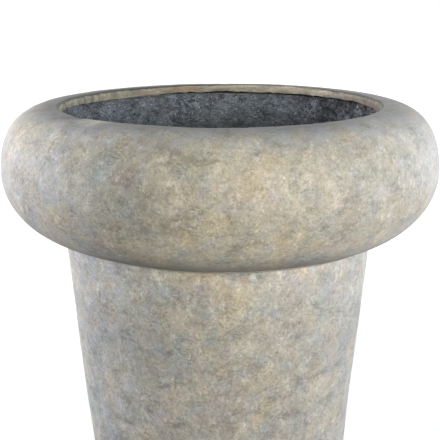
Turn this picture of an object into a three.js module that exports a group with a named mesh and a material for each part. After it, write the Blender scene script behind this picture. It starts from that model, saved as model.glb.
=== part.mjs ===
// A free-standing garden planter in hand-laid fibre cement: a tapered pot whose wall runs straight up to
// the mouth, with a fat hollow roll bonded round its top as a rim. Millimetres, +Z up, origin on the
// ground under the centre of the pot.
import * as THREE from "three";

// Overall sizes
const overallHeight = 700;
const widestDiameter = 760;
const mouthDiameter = 554;
const wallTopDiameter = 581;
const baseDiameter = 434;

// The rolled rim, measured from the level where it is widest
const crestRise = 112;
const undersideDrop = 134;
const undersideCentreDiameter = 408;
const upperFullness = 2.49;
const lowerFullness = 1.91;
const rollThickness = 9;
const lipHeight = 14;
const lipEdgeRadius = 8;

// The pot
const wallThickness = 8;
const floorThickness = 20;
const floorFilletRadius = 18;
const baseEdgeRadius = 6;

// The mortar that holds the rim on the pot
const bedThickness = 2;
const filletDrop = 2;
const filletReach = 3;

// The drain hole and its rubber plug
const drainDiameter = 32;
const drainChamfer = 2;
const plugClearance = 0.5;
const plugTaper = 1.2;
const plugDepth = 11;
const plugFlangeOverlap = 7;
const plugFlangeThickness = 4;
const plugWaistDiameter = 12;
const plugWaistHeight = 6;
const plugKnobDiameter = 20;
const plugKnobHeight = 7;
const plugEdgeRadius = 1.5;

// The rubber pads that the pot stands on
const padCount = 4;
const padDiameter = 40;
const padThickness = 5;
const padChamfer = 1;
const padInset = 22;

// The gap that every seated piece keeps to its seat
const seatGap = 0.3;

// Faceting
const largeSegments = 64;
const smallSegments = 32;
const quarterSteps = 10;
const edgeSteps = 4;

// Levels
const undersideLevel = padThickness + seatGap;
const floorLevel = undersideLevel + floorThickness;
const widestLevel = overallHeight - crestRise;
const lipLevel = overallHeight - lipHeight;
const bedTopLevel = lipLevel - seatGap;
const bedBottomLevel = bedTopLevel - bedThickness;
const wallTopLevel = bedBottomLevel - seatGap;

// Radii
const mouthRadius = mouthDiameter / 2;
const wallTopRadius = wallTopDiameter / 2;
const wallTopInsideRadius = wallTopRadius - wallThickness;
const drainRadius = drainDiameter / 2;
const skirtClearance = bedThickness + 2 * seatGap;

const limestoneFinish = { color: 0xb1a996, roughness: 0.6, metalness: 0 };
const mortar = { color: 0x8f8878, roughness: 0.9, metalness: 0 };
const blackRubber = { color: 0x1d1d1f, roughness: 0.75, metalness: 0 };

const point = (radius, level) => new THREE.Vector2(radius, level);

// The outer radius of the pot's tapered wall at a level.
function wallRadius(level) {
  const share = (level - undersideLevel) / (wallTopLevel - undersideLevel);
  return THREE.MathUtils.lerp(baseDiameter / 2, wallTopRadius, share);
}

// A quarter of a rounded curve from the widest point to the level of its crest or lowest point.
function quarterCurve(centreRadius, height, fullness) {
  const reach = widestDiameter / 2 - centreRadius;
  return Array.from({ length: quarterSteps + 1 }, (_, step) => {
    const angle = (step / quarterSteps) * (Math.PI / 2);
    const across = Math.max(Math.cos(angle), 0) ** (2 / fullness);
    const along = Math.sin(angle) ** (2 / fullness);
    return point(centreRadius + reach * across, widestLevel + height * along);
  });
}

// The outside of the roll, from its lowest point under the skirt to the crest beside the mouth.
function rollOutline() {
  const belly = quarterCurve(undersideCentreDiameter / 2, -undersideDrop, lowerFullness);
  const crown = quarterCurve(mouthRadius + lipEdgeRadius, crestRise, upperFullness);
  return [...belly.slice(1).reverse(), ...crown];
}

// A round edge about a centre, from one direction to another in degrees.
function edgeArc(centreRadius, centreLevel, radius, fromDegrees, toDegrees) {
  return Array.from({ length: edgeSteps + 1 }, (_, step) => {
    const degrees = THREE.MathUtils.lerp(fromDegrees, toDegrees, step / edgeSteps);
    const angle = THREE.MathUtils.degToRad(degrees);
    return point(centreRadius + radius * Math.cos(angle), centreLevel + radius * Math.sin(angle));
  });
}

// The outline moved to its left by a distance, square to the line between each point's neighbours.
function offsetOutline(outline, distance) {
  return outline.map((here, index) => {
    const before = outline[Math.max(index - 1, 0)];
    const after = outline[Math.min(index + 1, outline.length - 1)];
    const along = after.clone().sub(before).normalize();
    return point(here.x - along.y * distance, here.y + along.x * distance);
  });
}

// The stretch of an outline where a measure is above zero, cut where the measure crosses zero.
function clipOutline(outline, measure) {
  const kept = [];
  outline.forEach((here, index) => {
    const before = outline[index - 1];
    if (before && measure(before) > 0 !== measure(here) > 0) {
      const share = measure(before) / (measure(before) - measure(here));
      kept.push(before.clone().lerp(here, share));
    }
    if (measure(here) > 0) kept.push(here);
  });
  return kept;
}

// The outer and inner skins of the roll. The lower half is cut where it comes close to the pot's wall,
// and the upper half where it meets the lip, whose back is flush with the wall's outer face.
function rollSkins() {
  const reachPast = (lipRadius) => (here) =>
    here.x - (here.y < widestLevel ? wallRadius(here.y) + skirtClearance : lipRadius);
  return {
    outer: clipOutline(rollOutline(), reachPast(mouthRadius)),
    inner: clipOutline(offsetOutline(rollOutline(), rollThickness), reachPast(wallTopRadius)),
  };
}

// A body of revolution about +Z. A profile that starts off the axis is closed on itself.
function turned(profile, segments) {
  const offAxis = profile[0].x > 0;
  const outline = offAxis ? [...profile, profile[0].clone()] : profile;
  return new THREE.LatheGeometry(outline, segments).rotateX(Math.PI / 2);
}

function piece(name, geometry, finish) {
  const mesh = new THREE.Mesh(geometry, new THREE.MeshStandardMaterial(finish));
  mesh.name = name;
  return mesh;
}

// The pot: a floor with a drain hole, and the tapered wall up to the bed of mortar under the lip.
function potBody() {
  const baseRadius = wallRadius(undersideLevel);
  const floorRadius = wallRadius(floorLevel) - wallThickness;
  const profile = [
    point(drainRadius, undersideLevel),
    ...edgeArc(baseRadius - baseEdgeRadius, undersideLevel + baseEdgeRadius, baseEdgeRadius, -90, 0),
    point(wallRadius(wallTopLevel), wallTopLevel),
    point(wallTopInsideRadius, wallTopLevel),
    ...edgeArc(floorRadius - floorFilletRadius, floorLevel + floorFilletRadius, floorFilletRadius, 0, -90),
    point(drainRadius + drainChamfer, floorLevel),
    point(drainRadius, floorLevel - drainChamfer),
  ];
  return piece("pot_body", turned(profile, largeSegments), limestoneFinish);
}

// The rim: a C-shaped shell from a thick lip, which reaches a little way in over the pot's wall, over the
// crest and round to the skirt that meets the wall from below.
function rolledRim() {
  const { outer, inner } = rollSkins();
  const edgeLevel = overallHeight - lipEdgeRadius;
  const profile = [
    ...outer,
    ...edgeArc(mouthRadius + lipEdgeRadius, edgeLevel, lipEdgeRadius, 90, 180).slice(1),
    point(mouthRadius, lipLevel),
    point(wallTopRadius, lipLevel),
    ...inner.reverse(),
  ];
  return piece("rolled_rim", turned(profile, largeSegments), limestoneFinish);
}

// The bed of mortar between the top of the pot's wall and the lip of the rim.
function rimBedMortar() {
  const profile = [
    point(wallTopInsideRadius, bedBottomLevel),
    point(wallTopRadius, bedBottomLevel),
    point(wallTopRadius, bedTopLevel),
    point(wallTopInsideRadius, bedTopLevel),
  ];
  return piece("rim_bed_mortar", turned(profile, largeSegments), mortar);
}

// The mortar that joins the skirt of the rim to the wall, with a small fillet in the corner below it.
function rimSkirtMortar() {
  const { outer, inner } = rollSkins();
  const topLevel = inner[0].y;
  const cornerLevel = outer[0].y - seatGap;
  const againstWall = (level) => point(wallRadius(level) + seatGap, level);
  const againstRim = (level) => point(wallRadius(level) + seatGap + bedThickness, level);
  const profile = [
    againstWall(cornerLevel - filletDrop),
    againstRim(cornerLevel - filletDrop / 2),
    point(wallRadius(cornerLevel) + filletReach, cornerLevel - seatGap),
    againstRim(cornerLevel),
    againstRim(topLevel),
    againstWall(topLevel),
  ];
  return piece("rim_skirt_mortar", turned(profile, largeSegments), mortar);
}

// The rubber plug: a tapered stem in the drain hole, a flange on the floor and a knob to pull it by.
function drainPlug() {
  const stemRadius = drainRadius - plugClearance;
  const stemBottom = floorLevel - plugDepth;
  const flangeBottom = floorLevel + seatGap;
  const flangeTop = flangeBottom + plugFlangeThickness;
  const knobBottom = flangeTop + plugWaistHeight;
  const knobTop = knobBottom + plugKnobHeight;
  const stemEdge = stemRadius - plugTaper - plugEdgeRadius;
  const flangeEdge = drainRadius + plugFlangeOverlap - plugEdgeRadius;
  const knobEdge = plugKnobDiameter / 2 - plugEdgeRadius;
  const profile = [
    point(0, stemBottom),
    ...edgeArc(stemEdge, stemBottom + plugEdgeRadius, plugEdgeRadius, -90, 0),
    point(stemRadius, flangeBottom),
    ...edgeArc(flangeEdge, flangeBottom + plugEdgeRadius, plugEdgeRadius, -90, 0),
    ...edgeArc(flangeEdge, flangeTop - plugEdgeRadius, plugEdgeRadius, 0, 90),
    point(plugWaistDiameter / 2, flangeTop),
    point(plugWaistDiameter / 2, knobBottom),
    ...edgeArc(knobEdge, knobBottom + plugEdgeRadius, plugEdgeRadius, -90, 0),
    ...edgeArc(knobEdge, knobTop - plugEdgeRadius, plugEdgeRadius, 0, 90),
    point(0, knobTop),
  ];
  return piece("drain_plug", turned(profile, smallSegments), blackRubber);
}

// One rubber pad under the base, at its place round the pot.
function footPad(index) {
  const radius = padDiameter / 2;
  const circleRadius = baseDiameter / 2 - padInset - radius;
  const angle = ((index + 0.5) / padCount) * 2 * Math.PI;
  const profile = [
    point(0, 0),
    point(radius - padChamfer, 0),
    point(radius, padChamfer),
    point(radius, padThickness),
    point(0, padThickness),
  ];
  const pad = piece(`foot_pad_${index + 1}`, turned(profile, smallSegments), blackRubber);
  pad.position.set(circleRadius * Math.cos(angle), circleRadius * Math.sin(angle), 0);
  return pad;
}

const planter = new THREE.Group();
planter.add(potBody(), rolledRim(), rimBedMortar(), rimSkirtMortar(), drainPlug());
for (let index = 0; index < padCount; index += 1) planter.add(footPad(index));

export default planter;
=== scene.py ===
"""A round garden planter with a fat rolled rim, in weathered limestone-coloured fibre cement.

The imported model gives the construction. This script gives each of its pieces its finished surface:
turned meshes with the uneven, pitted and fibrous relief of hand-laid fibre cement, and node
materials for the paint, the raw inside, the mortar and the rubber.
"""

import math

import bpy
from mathutils import Euler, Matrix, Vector, noise

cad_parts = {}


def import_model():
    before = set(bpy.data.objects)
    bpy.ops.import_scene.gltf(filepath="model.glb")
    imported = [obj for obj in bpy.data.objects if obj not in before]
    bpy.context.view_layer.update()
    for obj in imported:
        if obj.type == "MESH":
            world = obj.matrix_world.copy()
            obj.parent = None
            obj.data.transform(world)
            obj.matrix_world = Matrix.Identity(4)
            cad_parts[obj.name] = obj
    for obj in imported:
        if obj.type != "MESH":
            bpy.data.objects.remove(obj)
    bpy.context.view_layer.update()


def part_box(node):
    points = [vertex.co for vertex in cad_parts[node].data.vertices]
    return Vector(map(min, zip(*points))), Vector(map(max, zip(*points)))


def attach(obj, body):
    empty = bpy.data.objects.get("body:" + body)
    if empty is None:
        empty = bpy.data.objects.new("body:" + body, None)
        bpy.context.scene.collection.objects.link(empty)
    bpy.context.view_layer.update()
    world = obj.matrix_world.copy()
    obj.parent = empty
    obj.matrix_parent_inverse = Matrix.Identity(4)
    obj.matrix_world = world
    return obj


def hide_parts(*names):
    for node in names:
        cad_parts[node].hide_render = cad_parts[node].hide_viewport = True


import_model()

MM = 0.001

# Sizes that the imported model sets
rim_low, rim_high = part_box("rolled_rim")
pot_low, pot_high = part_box("pot_body")
bed_low, bed_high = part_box("rim_bed_mortar")
skirt_low, skirt_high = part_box("rim_skirt_mortar")
plug_low, plug_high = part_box("drain_plug")
pad_low, pad_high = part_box("foot_pad_1")

TOP = rim_high.z
WIDEST_RADIUS = rim_high.x
SKIRT_LEVEL = rim_low.z
WALL_TOP = pot_high.z
WALL_TOP_RADIUS = pot_high.x
UNDERSIDE = pot_low.z
PAD_HEIGHT = pad_high.z
PAD_RADIUS = (pad_high.x - pad_low.x) / 2

# Sizes that follow the part's own source, in metres
CREST_RISE = 112 * MM
UNDERSIDE_DROP = 134 * MM
UNDERSIDE_CENTRE_RADIUS = 204 * MM
UPPER_FULLNESS = 2.49
LOWER_FULLNESS = 1.91
ROLL_THICKNESS = 9 * MM
MOUTH_RADIUS = 277 * MM
LIP_HEIGHT = 14 * MM
LIP_EDGE_RADIUS = 8 * MM
WALL_THICKNESS = 8 * MM
FLOOR_THICKNESS = 20 * MM
FLOOR_FILLET_RADIUS = 18 * MM
BASE_RADIUS = 217 * MM
BASE_EDGE_RADIUS = 6 * MM
DRAIN_RADIUS = 16 * MM
DRAIN_CHAMFER = 2 * MM
SEAT_GAP = 0.3 * MM
BED_THICKNESS = 2 * MM

WIDEST_LEVEL = TOP - CREST_RISE
LIP_LEVEL = TOP - LIP_HEIGHT
WALL_TOP_INSIDE = WALL_TOP_RADIUS - WALL_THICKNESS
FLOOR_LEVEL = UNDERSIDE + FLOOR_THICKNESS
SKIRT_CLEARANCE = BED_THICKNESS + 2 * SEAT_GAP


# Shape helpers


def smooth_step(low, high, value):
    """0 at low, 1 at high, and a smooth climb between them. Low may be the larger of the two."""
    share = min(max((value - low) / (high - low), 0), 1)
    return share * share * (3 - 2 * share)


def peak(value, centre, reach):
    """1 at the centre, falling smoothly to 0 at the reach from it."""
    return 1 - smooth_step(0, reach, abs(value - centre))


def wall_radius(level):
    """The outer radius of the pot's tapered wall at a level."""
    share = (level - UNDERSIDE) / (WALL_TOP - UNDERSIDE)
    return BASE_RADIUS + (WALL_TOP_RADIUS - BASE_RADIUS) * share


def quarter_curve(centre_radius, height, fullness, steps=60):
    """A quarter of a rounded curve, from the widest point to the level of its crest or lowest point."""
    reach = WIDEST_RADIUS - centre_radius
    points = []
    for step in range(steps + 1):
        angle = step / steps * math.pi / 2
        across = max(math.cos(angle), 0) ** (2 / fullness)
        along = math.sin(angle) ** (2 / fullness)
        points.append((centre_radius + reach * across, WIDEST_LEVEL + height * along))
    return points


def edge_arc(centre_radius, centre_level, radius, from_degrees, to_degrees, steps=6):
    points = []
    for step in range(steps + 1):
        angle = math.radians(from_degrees + (to_degrees - from_degrees) * step / steps)
        across, along = radius * math.cos(angle), radius * math.sin(angle)
        points.append((centre_radius + across, centre_level + along))
    return points


def respaced(points, spacing):
    """The same outline with points at even steps of about the spacing along it."""
    lengths = [0]
    for (r0, z0), (r1, z1) in zip(points, points[1:]):
        lengths.append(lengths[-1] + math.hypot(r1 - r0, z1 - z0))
    count = max(round(lengths[-1] / spacing), 1)
    made, index = [], 0
    for step in range(count + 1):
        target = lengths[-1] * step / count
        while index < len(points) - 2 and lengths[index + 1] < target:
            index += 1
        stretch = lengths[index + 1] - lengths[index]
        share = (target - lengths[index]) / stretch if stretch else 0
        (r0, z0), (r1, z1) = points[index], points[index + 1]
        made.append((r0 + (r1 - r0) * share, z0 + (z1 - z0) * share))
    return made


def offset_outline(points, distance):
    """The outline moved to its left, square to the line between each point's neighbours."""
    made = []
    for index, (r, z) in enumerate(points):
        r0, z0 = points[max(index - 1, 0)]
        r1, z1 = points[min(index + 1, len(points) - 1)]
        length = math.hypot(r1 - r0, z1 - z0)
        made.append((r - (z1 - z0) / length * distance, z + (r1 - r0) / length * distance))
    return made


def turned(name, profile, segments, relief=None, on_axis=False, finish_of_row=None):
    """A body of revolution from a profile of radius and level. relief(place, outward, index) moves
    each point of the surface. A profile with on_axis set starts and ends on the axis. finish_of_row
    gives the number of the material for the faces after each profile point."""
    ring = profile[1:-1] if on_axis else profile
    count = len(ring)
    vertices, faces = [], []
    normals = []
    for index in range(count):
        r0, z0 = profile[index] if on_axis else ring[index - 1]
        r1, z1 = profile[index + 2] if on_axis else ring[(index + 1) % count]
        length = math.hypot(r1 - r0, z1 - z0)
        normals.append(((z1 - z0) / length, -(r1 - r0) / length))
    for segment in range(segments):
        angle = segment / segments * 2 * math.pi
        cosine, sine = math.cos(angle), math.sin(angle)
        for index, (r, z) in enumerate(ring):
            place = Vector((r * cosine, r * sine, z))
            if relief:
                across, along = normals[index]
                outward = Vector((across * cosine, across * sine, along))
                place = relief(place, outward, index)
            vertices.append(place)
    rows = count - 1 if on_axis else count
    for segment in range(segments):
        here, there = segment * count, (segment + 1) % segments * count
        for index in range(rows):
            after = (index + 1) % count
            faces.append((here + index, there + index, there + after, here + after))
    if on_axis:
        low, high = len(vertices), len(vertices) + 1
        vertices += [Vector((0, 0, profile[0][1])), Vector((0, 0, profile[-1][1]))]
        for segment in range(segments):
            here, there = segment * count, (segment + 1) % segments * count
            faces.append((low, there, here))
            faces.append((high, here + count - 1, there + count - 1))
    mesh = bpy.data.meshes.new(name)
    mesh.from_pydata(vertices, [], faces)
    mesh.shade_smooth()
    if finish_of_row:
        numbers = [finish_of_row(row) for row in range(rows)] * segments
        mesh.polygons.foreach_set("material_index", numbers)
    piece = bpy.data.objects.new(name, mesh)
    bpy.context.collection.objects.link(piece)
    return piece


# Relief of hand-laid fibre cement. Places and sizes of features are in metres.

POT_LEAN = 3.5 * MM
SKIRT_LIFT = 4.5 * MM
CREST_SWELL = 1.8 * MM
CREST_HUMP = 2.0 * MM
HUMP_AT, HUMP_REACH = -0.252, 0.022
RIM_TILT = 0.0042

# Levels between which the pot's lean grows, and between which it fades again
LEAN_STARTS, LEAN_FULL = 0.03, 0.20
LEAN_FADES, LEAN_ENDS = 0.50, 0.64

# Shares of the outside's relief that the lip and the underside have
LIP_RELIEF = 0.4
UNDERSIDE_RELIEF = 0.35

# Where the lip's lower edge steps up or down: from one x to another, and how far
LIP_EDGE_STEPS = (
    (-0.085, -0.140, -3.2 * MM),
    (-0.235, -0.265, 2.2 * MM),
    (0.150, 0.220, -0.6 * MM),
    (0.245, 0.272, -3.4 * MM),
)
LIP_EDGE_NOTCH = 1.6 * MM
NOTCH_AT, NOTCH_REACH = 0.008, 0.030


def fractal(place, size, octaves, seed):
    """Smooth noise of about -1 to 1 with features of the given size. Each seed is another pattern."""
    return noise.fractal(place / size + Vector((seed, seed, seed)), 1.0, 2.0, octaves)


def hand_lean(place, share=1.0):
    """The pot sits a little to one side of the roll between the skirt and the foot."""
    above_foot = smooth_step(LEAN_STARTS, LEAN_FULL, place.z)
    below_roll = 1 - smooth_step(LEAN_FADES, LEAN_ENDS, place.z)
    place.x -= POT_LEAN * above_foot * below_roll * share
    return place


def skirt_lift(place):
    """At the left the skirt meets the wall a little higher."""
    near_wall = 1 - smooth_step(SKIRT_LEVEL, SKIRT_LEVEL + 40 * MM, place.z)
    place.z += SKIRT_LIFT * smooth_step(-0.02, -0.20, place.x) * near_wall
    return place


def crest_rise(place):
    """At the near left the crest stands a little higher, with a hump towards the side."""
    swell = smooth_step(-0.03, -0.09, place.x) * smooth_step(-0.25, -0.19, place.x)
    swell *= smooth_step(-0.02, -0.12, place.y)
    hump = peak(place.x, HUMP_AT, HUMP_REACH) * smooth_step(0, -0.04, place.y)
    place.z += (CREST_SWELL * swell + CREST_HUMP * hump) * smooth_step(WIDEST_LEVEL, TOP, place.z)
    return place


def outer_relief(place, outward, strength):
    """Slow swells, trowelled flats and shallow dents of the painted outside."""
    swell = fractal(place, 0.22, 2, 11) * 0.7 * MM
    trowel = fractal(place, 0.055, 2, 23) * 0.35 * MM
    dent = max(fractal(place, 0.03, 2, 37) - 0.35, 0) * 1.6 * MM
    grain = fractal(place, 0.009, 2, 41) * 0.16 * MM
    return place + outward * ((swell + trowel - dent + grain) * strength)


def inner_relief(place, outward, strength):
    """The lumpy fibre mat of the raw inside, with ridges where strands lie and hollows between them."""
    flow = Vector((place.x, place.y, place.z * 1.6))
    warp = Vector([fractal(flow, 0.05, 2, seed) for seed in (3, 5, 7)])
    mat = (0.5 - abs(fractal(flow + warp * 0.02, 0.022, 3, 13))) * 2.0 * MM
    lumps = fractal(flow, 0.045, 3, 17) * 1.4 * MM
    return place + outward * ((mat + lumps) * strength)


def ragged_lip(moved, place, in_mouth, down):
    """The lip's hand-smoothed face: shallow upright ribs, and a lower edge that wanders up and down."""
    around = Vector((place.x, place.y, 0))
    ribs = fractal(Vector((place.x, place.y, place.z * 0.3)), 0.011, 2, 61) * 0.8 * MM
    moved += around.normalized() * (ribs * in_mouth)
    edge = fractal(around, 0.016, 3, 67) * 1.7 * MM + 0.4 * MM
    for start, end, rise in LIP_EDGE_STEPS:
        edge += rise * smooth_step(start, end, place.x)
    edge += LIP_EDGE_NOTCH * peak(place.x, NOTCH_AT, NOTCH_REACH)
    moved.z += edge * down
    return moved


# Pieces

# Segments round the axis
RIM_SEGMENTS = 720
POT_SEGMENTS = 480
MORTAR_SEGMENTS = 480
PLUG_SEGMENTS = 96
PAD_SEGMENTS = 72

# Steps along the outlines, short where relief shows and long where nothing does
ROLL_STEP, ROLL_BACK_STEP = 3.7 * MM, 26 * MM
LIP_STEP, LIP_UNDERSIDE_STEP = 1.2 * MM, 2.7 * MM
WALL_STEP, UNDER_RIM_STEP, HIDDEN_WALL_STEP = 8.5 * MM, 4.2 * MM, 40 * MM
MOUTH_STEP, DEEP_STEP = 3.4 * MM, 13 * MM
FLOOR_STEP, UNDERSIDE_STEP = 15 * MM, 24 * MM
MORTAR_STEP, RUBBER_STEP = 0.7 * MM, 3 * MM


def rim_piece():
    """The roll: a C-shaped shell whose skirt meets the wall and whose lip turns down into the mouth."""
    belly = quarter_curve(UNDERSIDE_CENTRE_RADIUS, -UNDERSIDE_DROP, LOWER_FULLNESS)
    crown = quarter_curve(MOUTH_RADIUS + LIP_EDGE_RADIUS, CREST_RISE, UPPER_FULLNESS)
    whole = belly[1:][::-1] + crown
    skirt = [(r, z) for r, z in whole if z > WIDEST_LEVEL or r > wall_radius(z) + SKIRT_CLEARANCE]
    outer = respaced(skirt, ROLL_STEP)
    edge_level = TOP - LIP_EDGE_RADIUS
    edge = edge_arc(MOUTH_RADIUS + LIP_EDGE_RADIUS, edge_level, LIP_EDGE_RADIUS, 90, 180, 8)[1:]
    lip = respaced([(MOUTH_RADIUS, edge_level), (MOUTH_RADIUS, LIP_LEVEL)], LIP_STEP)[1:]
    lip_underside = [(MOUTH_RADIUS, LIP_LEVEL), (WALL_TOP_RADIUS, LIP_LEVEL)]
    under = respaced(lip_underside, LIP_UNDERSIDE_STEP)[1:]
    back = offset_outline(respaced(skirt, ROLL_BACK_STEP), ROLL_THICKNESS)
    inner = [
        (r, z)
        for r, z in back
        if (r > WALL_TOP_RADIUS + 4 * MM if z > WIDEST_LEVEL else r > wall_radius(z) + SKIRT_CLEARANCE)
    ]
    profile = outer + edge + lip + under + inner[::-1]
    lip_starts = len(outer) + len(edge)
    shown = lip_starts + len(lip)

    def relief(place, outward, index):
        radius = math.hypot(place.x, place.y)
        over_wall = smooth_step(WALL_TOP_INSIDE - 3 * MM, WALL_TOP_INSIDE, radius)
        if index >= shown + len(under) or (index >= shown and over_wall == 1):
            return place
        near_wall = 1 - smooth_step(SKIRT_LEVEL, SKIRT_LEVEL + 30 * MM, place.z)
        in_mouth = smooth_step(MOUTH_RADIUS + 6 * MM, MOUTH_RADIUS, radius)
        clear_of_wall = 1 if index < shown else 1 - over_wall
        strength = 1 - (1 - LIP_RELIEF) * in_mouth if index < shown else LIP_RELIEF * clear_of_wall
        moved = crest_rise(skirt_lift(outer_relief(place.copy(), outward, strength)))
        moved.z += RIM_TILT * place.x * smooth_step(WIDEST_LEVEL, TOP, place.z) * clear_of_wall
        down = smooth_step(edge_level, LIP_LEVEL, place.z) if index >= lip_starts else 0
        return hand_lean(ragged_lip(moved, place, in_mouth, down * (1 - over_wall)), near_wall)

    return turned("rolled_rim_shell", profile, RIM_SEGMENTS, relief)


def pot_piece():
    """The tapered pot: its painted outside, and the raw inside down to the floor and its hole."""
    edge = BASE_EDGE_RADIUS
    base_edge = edge_arc(wall_radius(UNDERSIDE) - edge, UNDERSIDE + edge, edge, -90, 0)
    underside = respaced([(DRAIN_RADIUS, UNDERSIDE), base_edge[0]], UNDERSIDE_STEP)
    fine_from, fine_to = SKIRT_LEVEL - 130 * MM, SKIRT_LEVEL + 20 * MM
    below_rim = (wall_radius(fine_from), fine_from)
    outside = respaced([base_edge[-1], below_rim], WALL_STEP)
    outside += respaced([below_rim, (wall_radius(fine_to), fine_to)], UNDER_RIM_STEP)[1:]
    hidden = respaced([outside[-1], (WALL_TOP_RADIUS, WALL_TOP)], HIDDEN_WALL_STEP)
    fillet_radius = wall_radius(FLOOR_LEVEL) - WALL_THICKNESS - FLOOR_FILLET_RADIUS
    fillet = edge_arc(fillet_radius, FLOOR_LEVEL + FLOOR_FILLET_RADIUS, FLOOR_FILLET_RADIUS, 0, -90)
    mouth = (WALL_TOP_INSIDE, WALL_TOP)
    slope = (WALL_TOP_INSIDE - fillet[0][0]) / (WALL_TOP - fillet[0][1])
    fine_depth = 160 * MM
    fine_end = (WALL_TOP_INSIDE - slope * fine_depth, WALL_TOP - fine_depth)
    near_mouth = respaced([mouth, fine_end], MOUTH_STEP)
    deep = respaced([fine_end, fillet[0]], DEEP_STEP)
    floor = respaced([fillet[-1], (DRAIN_RADIUS + DRAIN_CHAMFER, FLOOR_LEVEL)], FLOOR_STEP)
    bore = [(DRAIN_RADIUS, FLOOR_LEVEL - DRAIN_CHAMFER)]
    parts = [underside, base_edge[1:], outside[1:], hidden[1:]]
    painted = sum(len(part) for part in parts)
    profile = sum(parts, []) + near_mouth + deep[1:] + fillet[1:] + floor[1:] + bore

    def relief(place, outward, index):
        radius = math.hypot(place.x, place.y)
        clear_of_hole = smooth_step(DRAIN_RADIUS + 6 * MM, DRAIN_RADIUS + 40 * MM, radius)
        if index >= painted:
            below_top = smooth_step(WALL_TOP, WALL_TOP - 8 * MM, place.z)
            return hand_lean(inner_relief(place, outward, below_top * clear_of_hole))
        in_roll = smooth_step(SKIRT_LEVEL, fine_to, place.z)
        on_wall = smooth_step(UNDERSIDE, UNDERSIDE + 4 * MM, place.z)
        share = UNDERSIDE_RELIEF + (1 - UNDERSIDE_RELIEF) * on_wall
        return hand_lean(outer_relief(place, outward, (1 - in_roll) * share * clear_of_hole))

    def finish_of_row(row):
        return int(row >= painted - 1)

    return turned("pot_body_shell", profile, POT_SEGMENTS, relief, finish_of_row=finish_of_row)


def bed_piece():
    """The mortar between the lip and the top of the wall, ragged where it shows in the mouth."""
    bulge, raggedness = 0.6 * MM, 0.9 * MM
    inner, outer = WALL_TOP_INSIDE + bulge, bed_high.x
    low, high = bed_low.z, bed_high.z
    middle = (inner - bulge, (low + high) / 2)
    profile = [middle, (inner, low), (outer, low), (outer, high), (inner, high)]

    def relief(place, outward, index):
        if profile[index][0] <= inner:
            around = Vector((place.x, place.y, 0)).normalized()
            place = place + around * fractal(place, 0.012, 3, 53) * raggedness
        return place

    return turned("rim_bed_mortar_ring", profile, MORTAR_SEGMENTS, relief)


def skirt_piece():
    """The mortar between the roll's skirt and the wall, with a small fillet under the roll."""
    low, high = skirt_low.z, skirt_high.z
    corner = SKIRT_LEVEL - SEAT_GAP
    corner_radius, top_radius = wall_radius(corner) + SEAT_GAP, wall_radius(high) + SEAT_GAP
    foot = (wall_radius(low) + SEAT_GAP, low)
    face = respaced([foot, (corner_radius + 2.6 * MM, corner - 0.3 * MM)], MORTAR_STEP)
    profile = face + [
        (corner_radius + BED_THICKNESS, corner),
        (top_radius + BED_THICKNESS, high),
        (top_radius, high),
    ]

    def relief(place, outward, index):
        if 0 < index < len(face):
            place = place + outward * fractal(place, 0.01, 3, 59) * 0.3 * MM
        return hand_lean(skirt_lift(place))

    return turned("rim_skirt_mortar_fillet", profile, MORTAR_SEGMENTS, relief)


def plug_piece():
    """A ribbed stem in the hole, a flange with a ring groove on the floor, and a knob on a neck."""
    stem, flange = DRAIN_RADIUS - 0.5 * MM, plug_high.x
    neck, knob = 6 * MM, 10 * MM
    edge, knob_edge, neck_fillet = 1.5 * MM, 2.4 * MM, 1.5 * MM
    stem_bottom, flange_bottom = plug_low.z, FLOOR_LEVEL + SEAT_GAP
    flange_top = flange_bottom + 4 * MM
    knob_bottom, knob_top = flange_top + 6 * MM, plug_high.z
    profile = [(0, stem_bottom)]
    profile += respaced([(1 * MM, stem_bottom), (stem - 3.2 * MM, stem_bottom)], RUBBER_STEP)
    profile += edge_arc(stem - 2.7 * MM, stem_bottom + edge, edge, -90, 0)
    root, tip = stem - 1.0 * MM, stem - 0.1 * MM
    first_rib, rib_pitch = 3.4 * MM, 2.6 * MM
    for rib in range(3):
        level = stem_bottom + first_rib + rib_pitch * rib
        profile += [(root, level - 1.0 * MM), (tip, level), (root, level + 0.6 * MM)]
    profile += [(stem - 0.6 * MM, flange_bottom)]
    profile += respaced([(stem + 1 * MM, flange_bottom), (flange - edge, flange_bottom)], RUBBER_STEP)
    profile += edge_arc(flange - edge, flange_bottom + edge, edge, -90, 0)[1:]
    profile += edge_arc(flange - edge, flange_top - edge, edge, 0, 90)
    groove = flange_top - 0.6 * MM
    profile += [(flange - 4 * MM, flange_top - 0.1 * MM), (flange - 5 * MM, groove)]
    profile += [(flange - 8 * MM, groove), (flange - 9 * MM, flange_top)]
    profile += edge_arc(neck + neck_fillet, flange_top + neck_fillet, neck_fillet, -90, -180)
    profile += [(neck - 0.4 * MM, (flange_top + knob_bottom) / 2), (neck, knob_bottom - 1 * MM)]
    profile += edge_arc(knob - edge, knob_bottom + edge, edge, -90, 0)
    profile += edge_arc(knob - knob_edge, knob_top - knob_edge, knob_edge, 0, 90)
    profile += [(4.5 * MM, knob_top), (3.6 * MM, knob_top - 0.7 * MM), (0, knob_top - 0.9 * MM)]
    return turned("drain_plug_rubber", profile, PLUG_SEGMENTS, on_axis=True)


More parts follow.
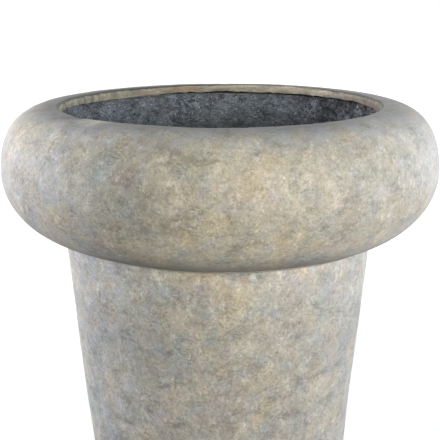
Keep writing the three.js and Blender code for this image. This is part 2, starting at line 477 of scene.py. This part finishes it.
def pad_piece(number):
    """A rubber disc that stands on three raised rings and its edge."""
    low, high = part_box(f"foot_pad_{number}")
    centre = (low + high) / 2
    groove, lower_edge, upper_edge = 0.5 * MM, 1.2 * MM, 0.7 * MM
    first_land, land_pitch, land_width, slope = 3.5 * MM, 5 * MM, 3.5 * MM, 0.4 * MM
    profile = [(0, groove), (1.5 * MM, groove)]
    for land in range(3):
        start = first_land + land_pitch * land
        end = start + land_width
        profile += [(start, groove), (start + slope, 0), (end - slope, 0), (end, groove)]
    profile += [(PAD_RADIUS - 2.0 * MM, 0)]
    profile += edge_arc(PAD_RADIUS - lower_edge, lower_edge, lower_edge, -90, 0)
    profile += edge_arc(PAD_RADIUS - upper_edge, PAD_HEIGHT - upper_edge, upper_edge, 0, 90)
    profile += [(PAD_RADIUS * 0.5, PAD_HEIGHT), (0, PAD_HEIGHT)]
    pad = turned(f"foot_pad_{number}_rubber", profile, PAD_SEGMENTS, on_axis=True)
    for vertex in pad.data.vertices:
        vertex.co.x += centre.x
        vertex.co.y += centre.y
    return pad


# Materials


def srgb(red, green, blue):
    """A linear colour from 0 to 255 display values."""
    values = []
    for value in (red, green, blue):
        share = value / 255
        values.append(share / 12.92 if share <= 0.04045 else ((share + 0.055) / 1.055) ** 2.4)
    return (*values, 1)


class Nodes:
    """A short way to write a material's node tree."""

    def __init__(self, name):
        self.material = bpy.data.materials.new(name)
        self.material.use_nodes = True
        self.tree = self.material.node_tree
        self.shader = self.tree.nodes["Principled BSDF"]
        self.place = self.tree.nodes.new("ShaderNodeTexCoord").outputs["Object"]

    def link(self, source, socket):
        if hasattr(source, "links"):
            self.tree.links.new(source, socket)
        else:
            socket.default_value = source

    def vector_maths(self, operation, first, second):
        node = self.tree.nodes.new("ShaderNodeVectorMath")
        node.operation = operation
        self.link(first, node.inputs[0])
        self.link(second, node.inputs["Scale" if operation == "SCALE" else 1])
        return node.outputs["Value" if operation == "DISTANCE" else "Vector"]

    def scaled(self, x, y, z):
        """The place with each of its axes multiplied, which stretches what follows it."""
        return self.vector_maths("MULTIPLY", self.place, (x, y, z))

    def shade(self, colour, factor):
        """The colour made darker or lighter by a factor."""
        return self.vector_maths("SCALE", colour, factor)

    def noise(self, size, detail=3.0, roughness=0.55, distortion=0.0, source=None, shift=0.0):
        """Noise of about 0 to 1 whose features are about size metres across. Each shift is another
        pattern."""
        node = self.tree.nodes.new("ShaderNodeTexNoise")
        node.noise_dimensions = "4D"
        self.link(source or self.place, node.inputs["Vector"])
        node.inputs["W"].default_value = shift
        node.inputs["Scale"].default_value = 1 / size
        node.inputs["Detail"].default_value = detail
        node.inputs["Roughness"].default_value = roughness
        node.inputs["Distortion"].default_value = distortion
        return node.outputs["Fac"]

    def cells(self, size):
        """The distance from the nearest of scattered points, in sizes, and that point's own grey."""
        node = self.tree.nodes.new("ShaderNodeTexVoronoi")
        self.link(self.place, node.inputs["Vector"])
        node.inputs["Scale"].default_value = 1 / size
        return node.outputs["Distance"], node.outputs["Color"]

    def specks(self, size, plenty, radius):
        """1 on round specks of a radius. Half of the scattered points or more have one, and the
        higher the plenty, the more."""
        distance, grey = self.cells(size)
        least = 0.5 - plenty * 0.5
        chosen = self.ramp(grey, least + 0.02, least, 1, 0)
        return self.product(self.ramp(distance, radius / size * 0.6, radius / size * 1.2, 1, 0), chosen)

    def strands(self, size, width, shift, source):
        """1 along the middle of curled strands, falling to 0 beside them."""
        wave = self.noise(size, 1.5, 0.5, 1.6, source=source, shift=shift)
        return self.ramp(self.maths("ABSOLUTE", self.maths("SUBTRACT", wave, 0.5)), 0, width, 1, 0)

    def near(self, centre, radius, shift):
        """1 round a place and 0 beyond a radius of it, with a ragged soft edge."""
        ragged = 0.7
        wander = self.noise(radius * 0.9, 4, 0.65, 0.4, shift=shift)
        distance = self.vector_maths("DISTANCE", self.place, centre)
        distance = self.maths("MULTIPLY_ADD", wander, 2 * ragged * radius, distance)
        return self.ramp(distance, (0.35 + ragged) * radius, (1.15 + ragged) * radius, 1, 0)

    def ramp(self, value, low, high, to_low=0.0, to_high=1.0, smooth=True):
        """The value taken from the range low to high to another range, and held at its ends."""
        node = self.tree.nodes.new("ShaderNodeMapRange")
        node.interpolation_type = "SMOOTHSTEP" if smooth else "LINEAR"
        self.link(value, node.inputs["Value"])
        for key, number in (("From Min", low), ("From Max", high), ("To Min", to_low), ("To Max", to_high)):
            node.inputs[key].default_value = number
        return node.outputs["Result"]

    def maths(self, operation, *values):
        node = self.tree.nodes.new("ShaderNodeMath")
        node.operation = operation
        for value, socket in zip(values, node.inputs):
            self.link(value, socket)
        return node.outputs[0]

    def product(self, first, second):
        return self.maths("MULTIPLY", first, second)

    def mix(self, share, first, second, blend="MIX"):
        node = self.tree.nodes.new("ShaderNodeMix")
        node.data_type = "RGBA"
        node.blend_type = blend
        self.link(share, node.inputs["Factor"])
        self.link(first, node.inputs["A"])
        self.link(second, node.inputs["B"])
        return node.outputs["Result"]

    def times(self, colour, tint):
        """The colour times another colour, channel by channel."""
        return self.mix(1.0, colour, tint, "MULTIPLY")

    def tint(self, colour, value, low, high, dark, light):
        """The colour times a tint that runs from dark to light as the value goes from low to high."""
        return self.times(colour, self.mix(self.ramp(value, low, high, smooth=False), dark, light))

    def toned(self, colour, patches, first_shift):
        """The colour shaded by a depth in patches, each given by its centre, radius and depth."""
        for number, (centre, radius, depth) in enumerate(patches):
            patch = self.near(centre, radius, shift=first_shift + number)
            colour = self.shade(colour, self.ramp(patch, 0, 1, 1, depth))
        return colour

    def speckled(self, colour, size, plenty, radius, most, speck):
        return self.mix(self.product(self.specks(size, plenty, radius), most), colour, speck)

    def axes(self):
        node = self.tree.nodes.new("ShaderNodeSeparateXYZ")
        self.link(self.place, node.inputs[0])
        return node.outputs

    def plan_radius(self):
        """The distance from the pot's axis."""
        x, y, _ = self.axes()
        return self.maths("SQRT", self.maths("MULTIPLY_ADD", x, x, self.product(y, y)))

    def bump(self, height, distance, strength):
        node = self.tree.nodes.new("ShaderNodeBump")
        self.link(height, node.inputs["Height"])
        node.inputs["Distance"].default_value = distance
        node.inputs["Strength"].default_value = strength
        return node.outputs["Normal"]

    def finish(self, colour, roughness, normal):
        self.link(colour, self.shader.inputs["Base Color"])
        self.link(roughness, self.shader.inputs["Roughness"])
        self.link(normal, self.shader.inputs["Normal"])
        return self.material


WHITE = (1, 1, 1, 1)
PAINT_ROUGHNESS = 0.55

# The limestone paint
BEIGE, PALE_BEIGE = srgb(172, 167, 153), srgb(190, 182, 163)
OCHRE, WARM_OCHRE = srgb(200, 180, 144), srgb(204, 180, 138)
OLIVE, BLUE_GREY = srgb(168, 171, 150), srgb(161, 167, 174)
PINKISH_BROWN, CREASE_BROWN = srgb(188, 172, 158), srgb(98, 94, 82)
CHIP_CREAM, PIT_BROWN = srgb(230, 227, 218), srgb(92, 88, 76)
# a painted sheen for the sides, and a dark brown for the line round the mouth
SIDE_SHEEN_GREY, MOUTH_LINE_BROWN = srgb(181, 183, 186), srgb(76, 76, 64)
# a painted sheen of the sky for the crest, and painted shade round the mouth
SKY_SHEEN_GREY, MOUTH_SHADE_GREY = srgb(188, 193, 201), srgb(164, 172, 182)

# The lip
TAN, PALE_TAN = srgb(166, 151, 131), srgb(227, 213, 190)
KHAKI, SHADED_BROWN = srgb(172, 167, 143), srgb(154, 137, 120)
SOFT_ORANGE, LIP_PIT_BROWN = srgb(206, 166, 118), srgb(92, 84, 68)

# The raw fibre cement
CHARCOAL, PALE_CHARCOAL = srgb(120, 123, 124), srgb(144, 148, 150)
PURPLISH_GREY, BLOOM_BLUE = srgb(122, 116, 124), srgb(152, 160, 176)
# pale fibre, partly painted glints
FIBRE_AND_GLINT_GREY, FIBRE_AND_GLINT_SPECK_GREY = srgb(192, 198, 204), srgb(204, 209, 216)
GAP_BLACK, PIT_BLACK = srgb(38, 40, 43), srgb(26, 27, 30)

# Mortar and rubber
DARK_MORTAR, PALE_MORTAR = srgb(84, 82, 76), srgb(150, 145, 130)
# painted shade for the joint under the lip
SHADE_BLACK, SHADED_MORTAR = srgb(20, 20, 20), srgb(84, 82, 78)
RUBBER_BLACK, DUSTY_RUBBER = srgb(30, 30, 32), srgb(66, 65, 63)

# Tints: the paint of the rim is a little warmer than the pot's
WARMER = (1.012, 1.0, 0.965, 1)
COOLER = (0.985, 1.0, 1.03, 1)
DARK_TONE, LIGHT_TONE = (0.57, 0.55, 0.50, 1), (1.43, 1.45, 1.50, 1)
DARK_GRAIN, LIGHT_GRAIN = (0.65, 0.63, 0.59, 1), (1.35, 1.37, 1.41, 1)
LEFT_OF_LIP, RIGHT_OF_LIP = (0.87, 0.87, 0.81, 1), (1.08, 1.08, 1.05, 1)

# Places and radii of single marks that the photographed side shows
ORANGE_FLUSH = ((-0.066, 0.270, 0.691), 28 * MM)
# the place on the near-left crest where the painted shade round the mouth is weaker
UNSHADED_CREST = ((-0.195, -0.212, 0.700), 44 * MM)
BLUE_BLOOMS = (((-0.073, 0.272, 0.672), 26 * MM), ((0.112, 0.257, 0.668), 22 * MM))
WARM_BLOOMS = (
    ((-0.004, -0.378, 0.570), 30 * MM),
    ((0.046, -0.374, 0.630), 26 * MM),
    ((0.028, -0.256, 0.420), 36 * MM),
)

# Larger patches of the paint, and then of the raw inside, each with the factor at its middle. Some of the
# paint's patches are painted shade and one is a painted highlight.
TONE_SHADE_AND_HIGHLIGHT_PATCHES = (
    ((-0.128, -0.357, 0.574), 62 * MM, 0.84),
    ((-0.091, -0.337, 0.681), 30 * MM, 0.84),
    ((-0.072, -0.369, 0.562), 26 * MM, 0.82),
    ((0.202, -0.321, 0.607), 26 * MM, 0.84),
    ((0.148, -0.353, 0.603), 30 * MM, 0.84),
    ((0.052, -0.365, 0.650), 70 * MM, 1.12),
    ((-0.021, -0.263, 0.439), 16 * MM, 0.84),
    # painted shade by the left end of the mouth, then a painted highlight on the near-left crest
    ((-0.252, -0.152, 0.700), 40 * MM, 0.52),
    ((-0.190, -0.222, 0.700), 42 * MM, 1.10),
    # painted shade by the right end of the mouth
    ((0.300, 0.100, 0.695), 40 * MM, 0.84),
    ((0.290, 0.030, 0.698), 26 * MM, 0.74),
)
RAW_PATCHES = (
    ((0.030, 0.276, 0.634), 30 * MM, 0.74),
    ((0.204, 0.191, 0.648), 28 * MM, 0.58),
    ((-0.035, 0.280, 0.674), 24 * MM, 1.28),
    ((-0.213, 0.182, 0.658), 30 * MM, 1.24),
    ((-0.092, 0.263, 0.645), 26 * MM, 1.20),
    ((-0.163, 0.231, 0.680), 26 * MM, 0.80),
)

# Small marks on the paint, each with its strength and colour
SINGLE_MARKS = (
    ((0.0399, -0.2620, 0.4504), 9 * MM, 0.45, srgb(172, 132, 92)),
    ((0.0527, -0.2606, 0.4566), 7 * MM, 0.5, srgb(226, 219, 203)),
    ((-0.0320, -0.2620, 0.4388), 9 * MM, 0.45, srgb(132, 137, 143)),
    ((0.0830, -0.2450, 0.3920), 9 * MM, 0.45, srgb(124, 129, 136)),
    ((-0.1108, -0.2309, 0.3683), 4 * MM, 0.6, srgb(96, 92, 82)),
    ((-0.0600, -0.3750, 0.5989), 8 * MM, 0.5, srgb(222, 212, 188)),
    ((0.0962, -0.3625, 0.6362), 3 * MM, 0.7, srgb(234, 232, 224)),
    ((0.0556, -0.3547, 0.6699), 4 * MM, 0.55, srgb(96, 103, 120)),
)


def limestone_colour(nodes):
    """Mottled limestone paint: a beige with soft blooms of ochre, olive, blue-grey and pinkish brown,
    under crisp dark and cream patches, fine creases, pale chips and dark pits. A painted sheen makes it
    more even at the right and paler at both sides."""
    clouds = nodes.noise(0.09, 5, 0.6, 0.4, shift=1)
    base = nodes.mix(nodes.ramp(clouds, 0.38, 0.62), BEIGE, PALE_BEIGE)
    colour = base
    upright, level_ways = nodes.scaled(1, 1, 0.6), nodes.scaled(0.7, 0.7, 1.2)
    blooms = (
        (0.046, 0.50, upright, OCHRE),
        (0.038, 0.32, level_ways, OLIVE),
        (0.032, 0.42, None, BLUE_GREY),
        (0.042, 0.36, upright, PINKISH_BROWN),
    )
    for number, (size, most, source, bloom) in enumerate(blooms):
        spread = nodes.noise(size, 2.5, 0.5, 0.3, source=source, shift=2 + number)
        colour = nodes.mix(nodes.ramp(spread, 0.46, 0.68, 0, most), colour, bloom)
    for number, (centre, radius) in enumerate(WARM_BLOOMS):
        bloom = nodes.near(centre, radius, shift=60 + number)
        colour = nodes.mix(nodes.product(bloom, 0.28), colour, WARM_OCHRE)
    dark_patches = nodes.noise(0.030, 7, 0.80, 0.3, source=level_ways, shift=6)
    colour = nodes.shade(colour, nodes.ramp(dark_patches, 0.50, 0.62, 1.05, 0.72))
    cream_patches = nodes.noise(0.020, 7, 0.80, 0.3, source=upright, shift=7)
    colour = nodes.shade(colour, nodes.ramp(cream_patches, 0.52, 0.63, 0.97, 1.28))
    tone = nodes.noise(0.026, 6, 0.80, 0.3, shift=8)
    colour = nodes.tint(colour, tone, 0.2, 0.8, DARK_TONE, LIGHT_TONE)
    grain = nodes.noise(0.0046, 3, 0.75, 0.2, shift=9)
    colour = nodes.tint(colour, grain, 0.25, 0.75, DARK_GRAIN, LIGHT_GRAIN)
    rough_parts = nodes.ramp(nodes.noise(0.06, 3, 0.6, shift=51), 0.47, 0.6)
    creases = nodes.product(nodes.strands(0.020, 0.03, 50, level_ways), rough_parts)
    colour = nodes.mix(nodes.product(creases, 0.45), colour, CREASE_BROWN)
    colour = nodes.speckled(colour, 0.016, 0.3, 1.5 * MM, 0.6, CHIP_CREAM)
    colour = nodes.speckled(colour, 0.014, 0.45, 1.4 * MM, 0.5, PIT_BROWN)
    colour = nodes.toned(colour, TONE_SHADE_AND_HIGHLIGHT_PATCHES, 40)
    for number, (centre, radius, most, mark) in enumerate(SINGLE_MARKS):
        spot = nodes.near(centre, radius, shift=70 + number)
        colour = nodes.mix(nodes.product(spot, most), colour, mark)
    # painted sheen: the texture is evened out at the right and the sides are mixed towards a pale grey
    across = nodes.axes()[0]
    even = nodes.ramp(across, 0.02, 0.24, 0.0, 0.16)
    side_sheen = nodes.ramp(nodes.maths("ABSOLUTE", across), 0.32, 0.378, 0.0, 0.28)
    return nodes.mix(side_sheen, nodes.mix(even, colour, base), SIDE_SHEEN_GREY)


def limestone_bump(nodes):
    """Fine grit, shallow dents and scattered pits."""
    grit = nodes.noise(0.0040, 4, 0.7, shift=10)
    dents = nodes.noise(0.017, 4, 0.6, shift=11)
    pits = nodes.ramp(nodes.cells(0.012)[0], 0.10, 0.26)
    height = nodes.maths("MULTIPLY_ADD", grit, 0.45, dents)
    height = nodes.maths("MULTIPLY_ADD", pits, 0.30, height)
    return nodes.bump(height, 1.2 * MM, 0.8)


def lip_paint(nodes):
    """The tan paint inside the mouth: khaki and ribbed at the left, an orange flush in the middle and a
    shaded brown at the right, with level brush strokes."""
    across = nodes.axes()[0]
    strokes = nodes.noise(0.015, 5, 0.75, 0.3, source=nodes.scaled(0.4, 0.4, 2.0), shift=12)
    tan = nodes.mix(nodes.ramp(strokes, 0.36, 0.64), TAN, PALE_TAN)
    tan = nodes.mix(nodes.ramp(across, -0.12, -0.2, 0, 0.7), tan, KHAKI)
    tan = nodes.mix(nodes.ramp(across, 0.16, 0.25, 0, 0.75), tan, SHADED_BROWN)
    smears = nodes.ramp(nodes.noise(0.016, 4, 0.7, 0.3, shift=22), 0.38, 0.62, 0.74, 1.12)
    tan = nodes.times(tan, nodes.mix(nodes.ramp(across, 0.08, 0.2), WHITE, smears))
    flush = nodes.product(nodes.near(*ORANGE_FLUSH, shift=20), 0.42)
    tan = nodes.mix(flush, tan, SOFT_ORANGE)
    ribs = nodes.noise(0.010, 2, 0.6, 0.2, source=nodes.scaled(1, 1, 0.25), shift=19)
    ribs = nodes.ramp(ribs, 0.3, 0.7, 0.62, 1.3)
    tan = nodes.times(tan, nodes.mix(nodes.ramp(across, -0.15, -0.2), WHITE, ribs))
    # painted shade at the right end of the lip
    tan = nodes.shade(tan, nodes.ramp(across, 0.235, 0.268, 1, 0.70))
    tan = nodes.times(tan, nodes.mix(nodes.ramp(across, -0.02, 0.05), LEFT_OF_LIP, RIGHT_OF_LIP))
    return nodes.speckled(tan, 0.009, 0.35, 1.3 * MM, 0.6, LIP_PIT_BROWN)


def crest_sheen_and_shade(nodes, stone, plan, wobble):
    """Painted sheen of the sky: a patchy pale bluish grey high on the crest. Painted shade: a darker grey
    ring round the mouth.
    """
    across, depth, level = nodes.axes()
    # painted sheen of the sky light, in patches, high on the crest
    sheen_patches = nodes.ramp(nodes.noise(0.030, 5, 0.7, 0.3, shift=25), 0.42, 0.58, 0.1, 1)
    dust_and_sheen = nodes.product(nodes.ramp(level, TOP - 40 * MM, TOP - 4 * MM, 0, 0.42), sheen_patches)
    sheened = nodes.mix(dust_and_sheen, stone, SKY_SHEEN_GREY)
    # painted shade: round the mouth the paint is greyed and darkened to about a third
    mouth_shaded = nodes.shade(nodes.mix(0.30, sheened, MOUTH_SHADE_GREY), 0.325)
    ring_ends = nodes.maths("MULTIPLY_ADD", wobble, 24 * MM, MOUTH_RADIUS + 22 * MM)
    ring = nodes.ramp(nodes.maths("SUBTRACT", plan, ring_ends), -14 * MM, 54 * MM, 1, 0)
    ring = nodes.product(ring, nodes.ramp(depth, -0.25, -0.12, 1, 0.93))
    # the painted shade is weaker on the near-left crest
    ring = nodes.product(ring, nodes.ramp(nodes.near(*UNSHADED_CREST, shift=24), 0, 1, 1, 0.3))
    ring = nodes.product(ring, nodes.ramp(across, 0.15, 0.30, 1, 0.56))
    return nodes.mix(ring, sheened, mouth_shaded)


def skirt_shade(nodes):
    """The factor of the paint low on the roll: painted shade at the left, and painted light that brightens
    it at the right.
    """
    across, _, level = nodes.axes()
    reach = nodes.ramp(across, -0.18, 0.04, 95 * MM, 14 * MM)
    up_skirt = nodes.maths("DIVIDE", nodes.maths("SUBTRACT", level, SKIRT_LEVEL), reach)
    depth = nodes.ramp(across, -0.18, 0.04, 0.48, -0.15)
    return nodes.maths("SUBTRACT", 1.0, nodes.product(nodes.ramp(up_skirt, 0, 1, 1, 0), depth))


def rim_material():
    """Limestone paint, with a dark brown line round the mouth and the tan lip band inside it."""
    nodes = Nodes("limestone_rim")
    across = nodes.axes()[0]
    plan = nodes.plan_radius()
    wobble = nodes.maths("SUBTRACT", nodes.noise(0.02, 4, 0.7, shift=21), 0.5)
    band_ends = nodes.ramp(across, -0.22, 0.2, MOUTH_RADIUS + 1.2 * MM, MOUTH_RADIUS + 4.8 * MM)
    band_ends = nodes.maths("SUBTRACT", band_ends, nodes.ramp(across, 0.14, 0.24, 0, 3.4 * MM))
    band_ends = nodes.maths("MULTIPLY_ADD", wobble, 5 * MM, band_ends)
    band = nodes.ramp(nodes.maths("SUBTRACT", plan, band_ends), -0.5 * MM, 0.7 * MM, 1, 0)
    mouth_line_ends = nodes.ramp(across, 0.14, 0.24, MOUTH_RADIUS + 7.0 * MM, MOUTH_RADIUS + 4.4 * MM)
    mouth_line_ends = nodes.maths("ADD", mouth_line_ends, nodes.ramp(across, 0.215, 0.24, 0, 1.7 * MM))
    mouth_line_ends = nodes.maths("MULTIPLY_ADD", wobble, 3 * MM, mouth_line_ends)
    mouth_line = nodes.ramp(nodes.maths("SUBTRACT", plan, mouth_line_ends), -0.6 * MM, 0.8 * MM, 0.85, 0)
    stone = nodes.times(limestone_colour(nodes), WARMER)
    colour = nodes.shade(crest_sheen_and_shade(nodes, stone, plan, wobble), skirt_shade(nodes))
    colour = nodes.mix(mouth_line, colour, MOUTH_LINE_BROWN)
    colour = nodes.mix(band, colour, lip_paint(nodes))
    return nodes.finish(colour, PAINT_ROUGHNESS, limestone_bump(nodes))


def pot_material():
    """Limestone paint, with painted light that makes it a little paler towards the roll."""
    nodes = Nodes("limestone_pot")
    colour = nodes.times(limestone_colour(nodes), COOLER)
    # painted light: darker low on the pot and brighter towards the roll
    colour = nodes.shade(colour, nodes.ramp(nodes.axes()[2], 0.34, 0.46, 0.89, 1.12))
    return nodes.finish(colour, PAINT_ROUGHNESS, limestone_bump(nodes))


def raw_material():
    """Unpainted fibre cement: charcoal with two blue blooms, pale curled fibres, partly painted glints,
    and dark gaps. It is purplish and blotchy at the right, with painted shade that makes it darker at
    the right and lower down, and it is smoother lower down."""
    nodes = Nodes("raw_fibre_cement")
    across, _, level = nodes.axes()
    clouds = nodes.noise(0.07, 4, 0.6, 0.8, shift=14)
    plain = nodes.mix(nodes.ramp(clouds, 0.38, 0.62), CHARCOAL, PALE_CHARCOAL)
    plain = nodes.mix(nodes.ramp(across, 0.08, 0.20, 0, 0.6), plain, PURPLISH_GREY)
    for number, (centre, radius) in enumerate(BLUE_BLOOMS):
        bloom = nodes.near(centre, radius, shift=30 + number)
        plain = nodes.mix(nodes.product(bloom, 0.5), plain, BLOOM_BLUE)
    mat = nodes.noise(0.010, 4, 0.76, 0.6, source=nodes.scaled(0.7, 0.7, 1.2), shift=15)
    colour = nodes.shade(plain, nodes.ramp(mat, 0.25, 0.75, 0.12, 1.88, smooth=False))
    bunches = nodes.noise(0.032, 3, 0.6, 0.5, shift=17)
    flat = nodes.scaled(0.7, 0.7, 1.3)
    curls_and_glints = nodes.product(nodes.strands(0.013, 0.07, 16, flat), nodes.ramp(bunches, 0.40, 0.58, 0, 0.75))
    gaps = nodes.product(nodes.strands(0.011, 0.06, 18, flat), nodes.ramp(bunches, 0.60, 0.42, 0, 0.75))
    colour = nodes.mix(gaps, colour, GAP_BLACK)
    # pale curled fibres, partly painted glints
    colour = nodes.mix(curls_and_glints, colour, FIBRE_AND_GLINT_GREY)
    # pale specks, partly painted glints
    colour = nodes.speckled(colour, 0.010, 0.55, 1.6 * MM, 0.8, FIBRE_AND_GLINT_SPECK_GREY)
    colour = nodes.speckled(colour, 0.019, 0.5, 2.4 * MM, 0.9, PIT_BLACK)
    smoother = nodes.ramp(level, WALL_TOP - 75 * MM, WALL_TOP - 30 * MM, 0.45, 0)
    colour = nodes.mix(smoother, colour, plain)
    # painted shade: darker lower down in the pot
    colour = nodes.shade(colour, nodes.ramp(level, WALL_TOP - 75 * MM, WALL_TOP - 20 * MM, 0.78, 1.06))
    blotches = nodes.ramp(nodes.noise(0.028, 4, 0.7, 0.4, shift=33), 0.4, 0.6, 0.17, 0.78)
    crumbs = nodes.ramp(nodes.noise(0.007, 3, 0.75, 0.3, shift=34), 0.3, 0.7, 0.15, 1.95)
    # painted shade at the right, in blotches, with a crumbly contrast
    right = nodes.mix(nodes.ramp(across, 0.11, 0.22), WHITE, blotches)
    right = nodes.times(right, nodes.mix(nodes.ramp(across, 0.10, 0.20), WHITE, crumbs))
    colour = nodes.times(colour, right)
    colour = nodes.shade(colour, nodes.ramp(across, -0.20, -0.04, 0.92, 1.17))
    # painted shade low at the right
    low = nodes.ramp(level, WALL_TOP - 55 * MM, WALL_TOP - 25 * MM, 1, 0)
    low_right_shade = nodes.product(low, nodes.ramp(across, 0.04, 0.18, 0, 0.3))
    colour = nodes.shade(colour, nodes.maths("SUBTRACT", 1.0, low_right_shade))
    colour = nodes.toned(colour, RAW_PATCHES, 80)
    height = nodes.maths("MULTIPLY_ADD", curls_and_glints, 0.8, mat)
    height = nodes.maths("MULTIPLY_ADD", gaps, -0.6, height)
    return nodes.finish(colour, 0.72, nodes.bump(height, 4.0 * MM, 1.0))


def fillet_material():
    """Grey mortar, painted over with the pot where it shows under the rim."""
    nodes = Nodes("painted_mortar")
    grain = nodes.noise(0.006, 4, 0.7, shift=13)
    bare = nodes.mix(grain, DARK_MORTAR, PALE_MORTAR)
    painted = nodes.ramp(nodes.axes()[2], SKIRT_LEVEL + 6 * MM, SKIRT_LEVEL + 5 * MM, 0, 1)
    colour = nodes.mix(painted, bare, limestone_colour(nodes))
    return nodes.finish(colour, 0.75, nodes.bump(grain, 0.8 * MM, 0.8))


def bed_material():
    """Grey mortar, made black by painted shade in the joint under the lip."""
    nodes = Nodes("shaded_mortar")
    grain = nodes.noise(0.006, 4, 0.7, shift=13)
    # painted shade: the mortar under the lip is near black
    colour = nodes.mix(grain, SHADE_BLACK, SHADED_MORTAR)
    return nodes.finish(colour, 0.9, nodes.bump(grain, 0.8 * MM, 0.8))


def rubber_material():
    """Black rubber with a little pale dust on it."""
    nodes = Nodes("black_rubber")
    dust_and_sheen = nodes.noise(0.02, 4, 0.6, shift=14)
    colour = nodes.mix(nodes.ramp(dust_and_sheen, 0.4, 0.75), RUBBER_BLACK, DUSTY_RUBBER)
    grain = nodes.noise(0.0012, 3, 0.6, shift=15)
    return nodes.finish(colour, nodes.ramp(dust_and_sheen, 0.3, 0.7, 0.5, 0.75), nodes.bump(grain, 0.1 * MM, 0.5))


# The scene around the part

FLOOR_HALF = 12.0
FLOOR_DROP = 0.2 * MM
FLOOR_GREY = srgb(170, 170, 170)
GLOW_STARTS, GLOW_FULL, GLOW_NEAR_PART = 0.9, 2.2, 0.67
SKY_STRENGTH = 0.405
SKY_BLUE = (0.76, 0.86, 1.0, 1)

LAMP_AIM = Vector((0, 0, 0.5))
LAMP_DISTANCE = 3.0
LAMP_SIDE = 2.0
ROSE = (1.0, 0.88, 0.87)
CREAM = (1.0, 0.94, 0.83)
AMBER = (1.0, 0.87, 0.56)
STRONG_BLUE = (0.59, 0.70, 1.0)
MIDDLE_BLUE = (0.66, 0.75, 1.0)
PALE_BLUE = (0.75, 0.82, 1.0)


def seen_directly(tree):
    """1 for the rays by which a background shows: from the camera, or through gloss or glass."""
    path = tree.nodes.new("ShaderNodeLightPath")
    seen = path.outputs["Is Camera Ray"]
    for kind in ("Is Glossy Ray", "Is Transmission Ray"):
        node = tree.nodes.new("ShaderNodeMath")
        node.operation = "MAXIMUM"
        tree.links.new(seen, node.inputs[0])
        tree.links.new(path.outputs[kind], node.inputs[1])
        seen = node.outputs[0]
    return seen


def stage():
    """A pale floor just under the pads, which whitens away from the part where it shows."""
    half = FLOOR_HALF
    corners = [(x, y, -FLOOR_DROP) for x, y in ((-half, -half), (half, -half), (half, half), (-half, half))]
    mesh = bpy.data.meshes.new("floor")
    mesh.from_pydata(corners, [], [(0, 1, 2, 3)])
    floor = bpy.data.objects.new("floor", mesh)
    bpy.context.collection.objects.link(floor)
    nodes = Nodes("pale_floor")
    nodes.shader.inputs["Base Color"].default_value = FLOOR_GREY
    nodes.shader.inputs["Roughness"].default_value = 0.9
    nodes.shader.inputs["Emission Color"].default_value = WHITE
    glow = nodes.ramp(nodes.plan_radius(), GLOW_STARTS, GLOW_FULL, GLOW_NEAR_PART, 1.0)
    nodes.link(nodes.product(glow, seen_directly(nodes.tree)), nodes.shader.inputs["Emission Strength"])
    floor.data.materials.append(nodes.material)


def softbox(name, azimuth, elevation, power, colour):
    """A square lamp at an azimuth counted from the front towards the right."""
    data = bpy.data.lights.new(name, "AREA")
    data.shape = "SQUARE"
    data.size = LAMP_SIDE
    data.energy = power
    data.color = colour
    light = bpy.data.objects.new(name, data)
    turn, rise = math.radians(azimuth), math.radians(elevation)
    way = Vector((math.sin(turn) * math.cos(rise), -math.cos(turn) * math.cos(rise), math.sin(rise)))
    light.location = LAMP_AIM + way * LAMP_DISTANCE
    light.rotation_euler = (-way).to_track_quat("-Z", "Y").to_euler()
    light.visible_camera = False
    bpy.context.collection.objects.link(light)


def lamps():
    softbox("key", 60, 5, 52.5, STRONG_BLUE)
    softbox("front_right", 30, 5, 45.5, AMBER)
    softbox("left_side", -90, 5, 57.5, MIDDLE_BLUE)
    softbox("left_back", -120, 5, 28, ROSE)
    softbox("left_back_high", -120, 30, 25.5, CREAM)
    softbox("right_back", 120, 5, 39.5, PALE_BLUE)


def world():
    """White where it shows, and a faint sky light on the part."""
    made = bpy.data.worlds.new("white_studio")
    bpy.context.scene.world = made
    made.use_nodes = True
    tree = made.node_tree
    background = tree.nodes["Background"]
    seen = seen_directly(tree)
    strength = tree.nodes.new("ShaderNodeMapRange")
    tree.links.new(seen, strength.inputs["Value"])
    strength.inputs["To Min"].default_value = SKY_STRENGTH
    tree.links.new(strength.outputs["Result"], background.inputs["Strength"])
    colour = tree.nodes.new("ShaderNodeMix")
    colour.data_type = "RGBA"
    tree.links.new(seen, colour.inputs["Factor"])
    colour.inputs["A"].default_value = SKY_BLUE
    colour.inputs["B"].default_value = WHITE
    tree.links.new(colour.outputs["Result"], background.inputs["Color"])


def camera():
    """The photograph's view, from a pinhole fit of the outlines: distances are in photograph pixels."""
    picture_size = 440
    roll_width = 440.02
    focal_pixels = 1454.74
    above_widest = 258.6
    pitch = 0.2121
    pixel = 2 * WIDEST_RADIUS / roll_width
    data = bpy.data.cameras.new("camera")
    data.sensor_width = 36
    data.lens = focal_pixels / picture_size * data.sensor_width
    eye = bpy.data.objects.new("camera", data)
    eye.location = (0, -focal_pixels * pixel, WIDEST_LEVEL + above_widest * pixel)
    eye.rotation_euler = Euler((math.pi / 2 - pitch, 0, 0))
    bpy.context.collection.objects.link(eye)
    bpy.context.scene.camera = eye


def dress(piece, materials, body, node):
    for material in materials:
        piece.data.materials.append(material)
    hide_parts(node)
    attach(piece, body)


painted_rim, painted_pot, raw = rim_material(), pot_material(), raw_material()
fillet, bed, rubber = fillet_material(), bed_material(), rubber_material()
dress(rim_piece(), [painted_rim], "planter", "rolled_rim")
dress(pot_piece(), [painted_pot, raw], "planter", "pot_body")
dress(bed_piece(), [bed], "planter", "rim_bed_mortar")
dress(skirt_piece(), [fillet], "planter", "rim_skirt_mortar")
dress(plug_piece(), [rubber], "drain_plug", "drain_plug")
for number in range(1, 5):
    dress(pad_piece(number), [rubber], "planter", f"foot_pad_{number}")

stage()
world()
lamps()
camera()
bpy.context.scene.view_settings.view_transform = "Standard"
